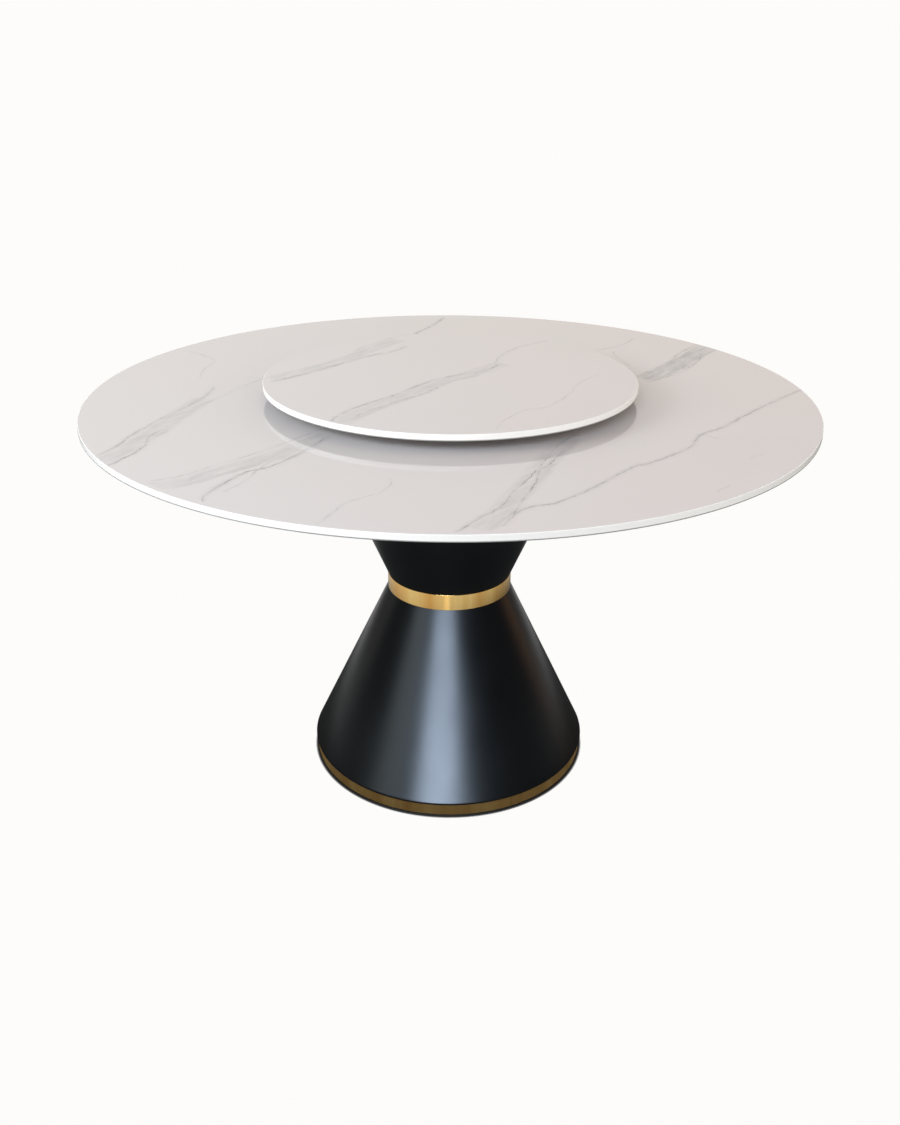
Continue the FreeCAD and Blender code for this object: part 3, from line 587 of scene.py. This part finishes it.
def turned_mesh(name, section, steps=TURN_STEPS, start=0.0, sweep=math.tau, hexagon=()):
    """A closed section in millimetres turned about the Z axis; the points in hexagon follow one instead."""
    full = sweep == math.tau
    form = bmesh.new()
    rings = []
    for i in range(steps if full else steps + 1):
        angle = start + sweep * i / steps
        facet = 1.0 / math.cos((angle % (math.tau / 6)) - math.tau / 12)
        reach = [p[0] * (facet if j in hexagon else 1.0) for j, p in enumerate(section)]
        rings.append([form.verts.new((r * math.cos(angle) * MM, r * math.sin(angle) * MM, p[1] * MM))
                      for r, p in zip(reach, section)])
    for i in range(steps):
        here, there = rings[i], rings[(i + 1) % len(rings)]
        for j in range(len(section)):
            k = (j + 1) % len(section)
            if section[j][0] or section[k][0]:
                form.faces.new((here[j], there[j], there[k], here[k]))
    if not full:
        form.faces.new(rings[0])
        form.faces.new(rings[-1][::-1])
    bmesh.ops.remove_doubles(form, verts=form.verts, dist=SAME_POINT)
    bmesh.ops.recalc_face_normals(form, faces=form.faces)
    mesh = bpy.data.meshes.new(name)
    form.to_mesh(mesh)
    form.free()
    mesh.shade_smooth()
    mesh.set_sharp_from_angle(angle=SHARP_ANGLE)
    return mesh


def place_mesh(mesh):
    """An object of the mesh's own name in the scene."""
    piece = bpy.data.objects.new(mesh.name, mesh)
    bpy.context.scene.collection.objects.link(piece)
    return piece


def stand_for(piece, node, body, slot, *materials):
    """The piece takes a CAD node's place on that body, in these materials if it has none yet."""
    for material in materials:
        piece.data.materials.append(material)
    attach(piece, body)
    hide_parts(node)
    return piece


def levels(node):
    """A node's outer radius, bottom and top in millimetres."""
    low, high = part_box(node)
    return high.x / MM, low.z / MM, high.z / MM


def ring_tree():
    """A Geometry Nodes tree that sets copies of one piece evenly round the table's axis."""
    tree = bpy.data.node_groups.new("ring of pieces", "GeometryNodeTree")
    inputs = {"Piece": "Object", "Count": "Int", "Radius": "Float", "Level": "Float", "Finish": "Material"}
    for name, kind in inputs.items():
        tree.interface.new_socket(name, in_out="INPUT", socket_type="NodeSocket" + kind)
    tree.interface.new_socket("Geometry", in_out="OUTPUT", socket_type="NodeSocketGeometry")
    given = add(tree, "NodeGroupInput").outputs
    circle = add(tree, "GeometryNodeMeshCircle", {"Vertices": given["Count"], "Radius": given["Radius"]})
    share = add(tree, "ShaderNodeMath", {0: math.tau, 1: given["Count"]}, operation="DIVIDE")
    index = add(tree, "GeometryNodeInputIndex")
    turn = add(tree, "ShaderNodeMath", {0: index, 1: share}, operation="MULTIPLY")
    facing = add(tree, "ShaderNodeCombineXYZ", {"Z": turn})
    piece = add(tree, "GeometryNodeObjectInfo", {"Object": given["Piece"]}).outputs["Geometry"]
    copies = add(tree, "GeometryNodeInstanceOnPoints", {
        "Points": circle, "Instance": piece, "Rotation": facing})
    lift = add(tree, "ShaderNodeCombineXYZ", {"Z": given["Level"]})
    moved = add(tree, "GeometryNodeTransform", {"Geometry": copies, "Translation": lift})
    real = add(tree, "GeometryNodeRealizeInstances", {"Geometry": moved})
    finished = add(tree, "GeometryNodeSetMaterial", {"Geometry": real, "Material": given["Finish"]})
    add(tree, "NodeGroupOutput", {"Geometry": finished})
    return tree


def ring_of(tree, name, mesh, finish, count, radius, level):
    """Copies of a mesh round the axis as one plain mesh object, sizes in millimetres."""
    pattern = place_mesh(mesh)
    carrier = place_mesh(bpy.data.meshes.new(name))
    modifier = carrier.modifiers.new("ring", "NODES")
    modifier.node_group = tree
    values = {
        "Piece": pattern, "Count": count, "Radius": radius * MM, "Level": level * MM, "Finish": finish}
    for item in tree.interface.items_tree:
        if item.in_out == "INPUT":
            modifier[item.identifier] = values[item.name]
    bpy.context.view_layer.update()
    evaluated = carrier.evaluated_get(bpy.context.evaluated_depsgraph_get())
    made = bpy.data.meshes.new_from_object(evaluated)
    carrier.modifiers.remove(modifier)
    carrier.data = made
    made.name = name
    bpy.data.objects.remove(pattern)
    return carrier


# Pieces

def stone_slab(node, body, face, edge, back):
    """A stone disc with eased, polished arrises: printed face, plain edge and mesh-backed underside."""
    radius, under, top = levels(node)
    section = rounded([
        (0, under, 0), (radius, under, STONE_ARRIS), (radius, top, STONE_ARRIS), (0, top, 0)])
    piece = place_mesh(turned_mesh(node + "_slab", section))
    stand_for(piece, node, body, "sintered_stone", face, edge, back)
    for side in piece.data.polygons:
        side.material_index = 0 if side.normal.z > FLAT_FACE else 2 if side.normal.z < -FLAT_FACE else 1
    return piece


def upper_cone(coat):
    """The spun cone under the top: open at the waist, with a lip turned in under the stone."""
    radius, under, top = levels("upper_cone")
    lean = math.atan2(radius - NECK_RADIUS, top - under)
    wall = CONE_SHEET / math.cos(lean)
    inside = radius - wall - CONE_SHEET * math.tan(lean)
    lip = radius - wall - CONE_LIP
    section = rounded([
        (NECK_RADIUS, under, 0), (radius, top, LIP_ROUND), (lip, top, 0), (lip, top - CONE_SHEET, 0),
        (inside, top - CONE_SHEET, 0), (NECK_RADIUS - wall, under, 0)])
    shell = place_mesh(turned_mesh("upper_cone_shell", section))
    return stand_for(shell, "upper_cone", "table", "black_powder_coat", coat)


def lower_cone(coat):
    """The spun cone on the floor: a rounded rim over the gold strip, then a skirt and hem behind it."""
    waist = levels("lower_cone")[2]
    plate_top = levels("base_plate")[2]
    band_radius, _, band_top = levels("base_band")
    rim = band_radius + RIM_OVERHANG
    skirt = band_radius - BASE_BAND_THICK - SKIRT_PLAY
    lean = math.atan2(rim - NECK_RADIUS, waist - band_top)
    wall = CONE_SHEET / math.cos(lean)
    hem = skirt - CONE_SHEET - HEM_WIDTH
    shelf = band_top + CONE_SHEET
    section = rounded([
        (NECK_RADIUS, waist, 0), (rim, band_top, RIM_ROUND), (skirt, band_top, 0), (skirt, plate_top, 0),
        (hem, plate_top, 0), (hem, plate_top + CONE_SHEET, 0),
        (skirt - CONE_SHEET, plate_top + CONE_SHEET, 0), (skirt - CONE_SHEET, shelf, 0),
        (rim - CONE_SHEET * math.tan(lean) - wall, shelf, RIM_ROUND - CONE_SHEET),
        (NECK_RADIUS - wall, waist, 0)])
    shell = place_mesh(turned_mesh("lower_cone_shell", section))
    return stand_for(shell, "lower_cone", "table", "black_powder_coat", coat)


def strip_section(node, thick):
    """The section of a flat metal strip, its outer arrises eased."""
    radius, under, top = levels(node)
    inner = radius - thick
    return rounded([
        (inner, under, 0), (radius, under, BAND_ARRIS), (radius, top, BAND_ARRIS), (inner, top, 0)])


def waist_band(gold):
    """The polished band round the waist."""
    band = place_mesh(turned_mesh("waist_band_ring", strip_section("waist_band", WAIST_BAND_THICK)))
    return stand_for(band, "waist_band", "table", "gold_stainless", gold)


def base_band(gold):
    """The strip round the foot of the base, with its fine butt seam."""
    section = strip_section("base_band", BASE_BAND_THICK)
    half_seam = SEAM_GAP / levels("base_band")[0] / 2
    strip = place_mesh(turned_mesh(
        "base_band_strip", section, start=SEAM_ANGLE + half_seam, sweep=math.tau - 2 * half_seam))
    return stand_for(strip, "base_band", "table", "gold_stainless", gold)


def foot_ring(rubber):
    """The flat rubber ring that the base stands on."""
    radius, under, top = levels("foot_ring")
    inner = radius - FOOT_WIDTH
    section = rounded([
        (inner, under, FOOT_ARRIS), (radius, under, FOOT_ARRIS),
        (radius, top, FOOT_ARRIS), (inner, top, FOOT_ARRIS)])
    ring = place_mesh(turned_mesh("foot_ring_rubber", section))
    return stand_for(ring, "foot_ring", "table", "black_rubber", rubber)


def ball_level():
    """The height of the balls' centres in millimetres."""
    _, under, top = levels("bearing_balls")
    return (under + top) / 2


def race_rings(aluminium):
    """The two grooved rings of the turntable: the outer one stands still, the inner one turns."""
    level = ball_level()
    outside, outer_under, outer_top = levels("race_base_ring")
    rim, inner_under, inner_top = levels("race_turn_ring")
    open_angle = math.degrees(math.acos((outside - RING_WIDTH - PITCH_RADIUS) / GROOVE_RADIUS))
    for node, body, near, far, first, last, facing in (
            ("race_base_ring", "table", outside - RING_WIDTH, outside, outer_under, outer_top, 0),
            ("race_turn_ring", "susan", rim, rim - RING_WIDTH, inner_top, inner_under, 180)):
        groove = arc(
            (PITCH_RADIUS, level), GROOVE_RADIUS, facing + open_angle, facing - open_angle, GROOVE_STEPS)
        section = rounded([
            (near, first, 0), (far, first, RING_EDGE), (far, last, RING_EDGE), (near, last, 0), *groove])
        ring = place_mesh(turned_mesh(node + "_turned", section))
        stand_for(ring, node, body, "race_aluminium", aluminium)


def race_balls(tree, steel):
    """The hard steel balls in the cage's pockets."""
    half = arc((0, 0), BALL_RADIUS, -90, 90, BALL_ARC_STEPS)[1:-1]
    section = [(0, -BALL_RADIUS, 0), *half, (0, BALL_RADIUS, 0)]
    ball = turned_mesh("ball", section, steps=BALL_STEPS)
    ring = ring_of(tree, "bearing_ball_ring", ball, steel, BALL_COUNT, PITCH_RADIUS, ball_level())
    stand_for(ring, "bearing_balls", "cage", "ball_steel")


def pads(tree, name, node, ring_node, body, slot, finish):
    """Soft pads between a ring of the race and a stone."""
    _, under, top = levels(node)
    radius = levels(ring_node)[0] - RING_WIDTH / 2
    half = PAD_DIAMETER / 2
    section = rounded([
        (0, 0, 0), (half, 0, PAD_ARRIS), (half, top - under, PAD_ARRIS), (0, top - under, 0)])
    pad = turned_mesh("pad", section, steps=PAD_STEPS)
    ring = ring_of(tree, name, pad, finish, PAD_COUNT, radius, under)
    stand_for(ring, node, body, slot)


def column_screws(tree, zinc):
    """Countersunk screws with a hexagon socket, flush under the base plate."""
    _, under, top = levels("flange_bolts")
    length = top - under
    section = rounded([
        (0, SOCKET_DEPTH, 0), (SCREW_SOCKET, SOCKET_DEPTH, 0), (SCREW_SOCKET, 0, 0), (SCREW_HEAD, 0, 0),
        (SCREW_SHANK, SCREW_HEAD - SCREW_SHANK, 0), (SCREW_SHANK, length, SCREW_TIP_ROUND),
        (0, length, 0)])
    screw = turned_mesh("screw", section, steps=SCREW_STEPS, hexagon=(1, 2))
    ring = ring_of(tree, "column_screw_ring", screw, zinc, SCREW_COUNT, SCREW_RING, under)
    stand_for(ring, "flange_bolts", "table", "zinc_plated_steel")


def dress_nodes(finishes):
    """The CAD nodes that stay as they are get the finish of their material."""
    for finish, nodes in finishes:
        for name in nodes:
            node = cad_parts[name]
            node.data.materials.clear()
            node.data.materials.append(finish)


# Stage

def spared(name, pieces):
    """A group of pieces that a panel can be told to leave unlit."""
    group = bpy.data.collections.new(name)
    for piece in pieces:
        group.objects.link(piece)
    for member in group.collection_objects:
        member.light_linking.link_state = "EXCLUDE"
    return group


def panel(name, place, aim, size, radiance, colour, unlit=None, mirrored=True):
    """A soft panel of that width and height, facing a point, that may leave a group of pieces unlit."""
    lamp = bpy.data.lights.new(name, "AREA")
    lamp.shape = "RECTANGLE"
    lamp.size, lamp.size_y = size
    lamp.energy = radiance * WATTS_PER_RADIANCE * size[0] * size[1]
    lamp.color = linear(colour)[:3]
    light = bpy.data.objects.new(name, lamp)
    away = Vector(aim) - Vector(place)
    light.matrix_world = Matrix.Translation(place) @ away.to_track_quat("-Z", "Y").to_matrix().to_4x4()
    light.visible_camera = False
    light.visible_glossy = mirrored
    light.light_linking.receiver_collection = unlit
    bpy.context.scene.collection.objects.link(light)


def pale_floor():
    """A plain pale floor, with painted shade under the table and a painted bright ring where the base
    mirrors it, and a painted contact shadow at the foot.
    """
    mesh = bpy.data.meshes.new("floor")
    corners = ((-1, -1), (1, -1), (1, 1), (-1, 1))
    mesh.from_pydata([(x * FLOOR_EXTENT, y * FLOOR_EXTENT, 0) for x, y in corners], [], [(0, 1, 2, 3)])
    floor = place_mesh(mesh)
    material, tree, place = new_material("pale floor")
    seen = add(tree, "ShaderNodeLightPath").outputs["Is Camera Ray"]
    under = add(tree, "ShaderNodeNewGeometry").outputs["Backfacing"]
    # Painted shade under the table and a painted bright ring round it, glowing as light in what the base
    # mirrors
    spread = add(tree, "ShaderNodeMapping", {
        "Vector": place, "Location": SHADE_CENTRE, "Scale": (SHADE_REACH,) * 3}, vector_type="TEXTURE")
    away = add(tree, "ShaderNodeVectorMath", {0: spread}, operation="LENGTH").outputs["Value"]
    shade = add(tree, "ShaderNodeValToRGB", {"Fac": away})
    for i, (distance, bright) in enumerate(FLOOR_SHADE):
        position = distance / SHADE_REACH
        stop = shade.color_ramp.elements[i] if i < 2 else shade.color_ramp.elements.new(position)
        stop.position = position
        stop.color = (bright, bright, bright, 1)
    # Painted contact shadow: the floor's glow darkened where the foot stands on it
    nook = add(tree, "ShaderNodeAmbientOcclusion", {"Distance": CONTACT_REACH}).outputs["AO"]
    contact_shadow = add(tree, "ShaderNodeMath", {0: nook, 1: CONTACT_DEPTH}, operation="POWER")
    shown_floor = add(tree, "ShaderNodeMath", {0: seen, 1: contact_shadow}, operation="MULTIPLY")
    glow = add(tree, "ShaderNodeMath", {0: shown_floor, 1: shade}, operation="MAXIMUM")
    pale = add(tree, "ShaderNodeEmission", {"Color": linear(PAPER_WHITE), "Strength": glow})
    clear = add(tree, "ShaderNodeBsdfTransparent")
    shown = add(tree, "ShaderNodeMixShader", {0: under, 1: pale, 2: clear})
    add(tree, "ShaderNodeOutputMaterial", {"Surface": shown})
    mesh.materials.append(material)


def white_surround():
    """A background that the camera sees as white and that gives only a dim light."""
    world = bpy.data.worlds.new("white surround")
    world.use_nodes = True
    tree = world.node_tree
    tree.nodes.clear()
    seen = add(tree, "ShaderNodeLightPath").outputs["Is Camera Ray"]
    dim = add(tree, "ShaderNodeBackground", {"Color": linear("#ffffff"), "Strength": SURROUND_LIGHT})
    white = add(tree, "ShaderNodeBackground", {"Color": linear(PAPER_WHITE), "Strength": 1.0})
    mixed = add(tree, "ShaderNodeMixShader", {0: seen, 1: dim, 2: white})
    add(tree, "ShaderNodeOutputWorld", {"Surface": mixed})
    bpy.context.scene.world = world
    bpy.context.scene.view_settings.view_transform = "Standard"


def lights(pale_pieces, dark_pieces):
    """Walls and fills leave the dark pieces unlit, and a window and cards leave the pale ones unlit."""
    pale = spared("out of the window's light", pale_pieces)
    dark = spared("out of the walls' light", dark_pieces)
    table_top = (0, 0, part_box("tabletop")[1].z)
    mid_room = (0, 0, WALL_LEVEL)
    panel("overhead softbox", *OVERHEAD)
    panel("back wall", (0, WALL_AWAY, WALL_LEVEL), mid_room, WALL_SIZE, WALL_RADIANCE, BACK_WALL_WHITE)
    walls = (("front wall", 0, -WALL_AWAY), ("left wall", -WALL_AWAY, 0), ("right wall", WALL_AWAY, 0))
    for name, x, y in walls:
        panel(name, (x, y, WALL_LEVEL), mid_room, WALL_SIZE, WALL_RADIANCE, WALL_WHITE, dark)
    for name, (place, size, radiance, colour) in FILLS.items():
        panel(name, place, table_top, size, radiance, colour, dark, mirrored=False)
    for name, (place, aim, size, radiance, colour) in BASE_LIGHTS.items():
        panel(name, place, aim, size, radiance, colour, pale)


set_camera()

coat = powder_coat()
back = stone_back()
aluminium = turned_aluminium()
# Moulded rubber: dull near-black with a pitted skin, drawn coarser than it is so that it shows
rubber = plain_finish(
    "moulded black rubber", "#0d0d0d", "#171716", patch=9, rough=(0.7, 0.88), relief=(1.2, 0.15))
# Primed steel: flat charcoal, a little uneven where it was sprayed
primed = plain_finish(
    "black primed steel", "#161618", "#202022", patch=35, rough=(0.45, 0.6), relief=(3, 0.05))
# Zinc plate: bluish silver with the cloudy patches of the passivating bath
zinc = plain_finish(
    "zinc-plated steel", "#9fa3a8", "#c3c6c9", patch=7, rough=(0.24, 0.42), Metallic=1.0)
# Turned brass: warm yellow, a little tarnished in patches
brass = plain_finish(
    "turned brass", "#b08d3f", "#c7a65a", patch=5, rough=(0.22, 0.36), Metallic=1.0)
# Foam tape: dead black, its fine cells cut open and drawn coarser than they are so that they show
foam = plain_finish(
    "closed-cell black foam", "#121213", "#1d1d1e", patch=2, rough=(0.85, 0.95), relief=(0.8, 0.2))
# Cured silicone: milky and soft-edged, with some light let through
silicone = plain_finish(
    "clear cured silicone", "#dfe4e6", "#eef1f2", patch=10, rough=(0.25, 0.4),
    **{"Transmission Weight": 0.5, "IOR": 1.41})
# Natural nylon: waxy off-white with a faint mould grain
nylon = plain_finish(
    "moulded natural nylon", "#ded9cb", "#ebe7dc", patch=12, rough=(0.38, 0.5), relief=(2, 0.02))
# Bearing steel: ground and polished to a near mirror
chrome_steel = plain_finish(
    "polished bearing steel", "#bfc2c5", "#cfd1d3", patch=4, rough=(0.05, 0.12), Metallic=1.0)

slabs = []
for node, body, veins in (("tabletop", "table", TABLE_VEINS), ("susan_top", "susan", SUSAN_VEINS)):
    face = stone_face("polished sintered stone " + node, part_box(node)[1].z, veins)
    edge = stone_edge("polished sintered stone edge " + node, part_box(node)[0].z)
    slabs.append(stone_slab(node, body, face, edge, back))
waist = waist_band(gold_strip(
    "polished gold stainless", "#dca85c", "#f6d286", roughness=0.13, stretch=0.5))
strip = base_band(gold_strip(
    "brushed gold stainless", "#d1a763", "#e3c17d", roughness=0.5, stretch=0.2))
cones = [upper_cone(coat), lower_cone(coat)]
foot = foot_ring(rubber)
race_rings(aluminium)
ring = ring_tree()
race_balls(ring, chrome_steel)
pads(ring, "race_foot_pads", "race_feet", "race_base_ring", "table", "black_rubber", rubber)
pads(ring, "susan_rest_pads", "susan_pads", "race_turn_ring", "susan", "clear_silicone", silicone)
column_screws(ring, zinc)
dress_nodes([
    (foam, ["rim_tape"]),
    (primed, ["base_plate", "column_flange", "lower_column", "upper_column", "base_gussets",
              "lower_neck_plate", "upper_neck_plate", "waist_core", "top_plate", "top_gussets"]),
    (zinc, ["flange_washers", "flange_nuts", "skirt_screws", "skirt_nuts", "neck_bolts", "neck_washers",
            "neck_nuts", "top_bolts", "top_washers"]),
    (brass, ["threaded_inserts"]),
    (plywood(), ["mounting_board"]),
    (silicone, ["silicone_dabs"]),
    (nylon, ["ball_cage"]),
])
pale_floor()
white_surround()
lights([*slabs, strip], [*cones, foot, waist])
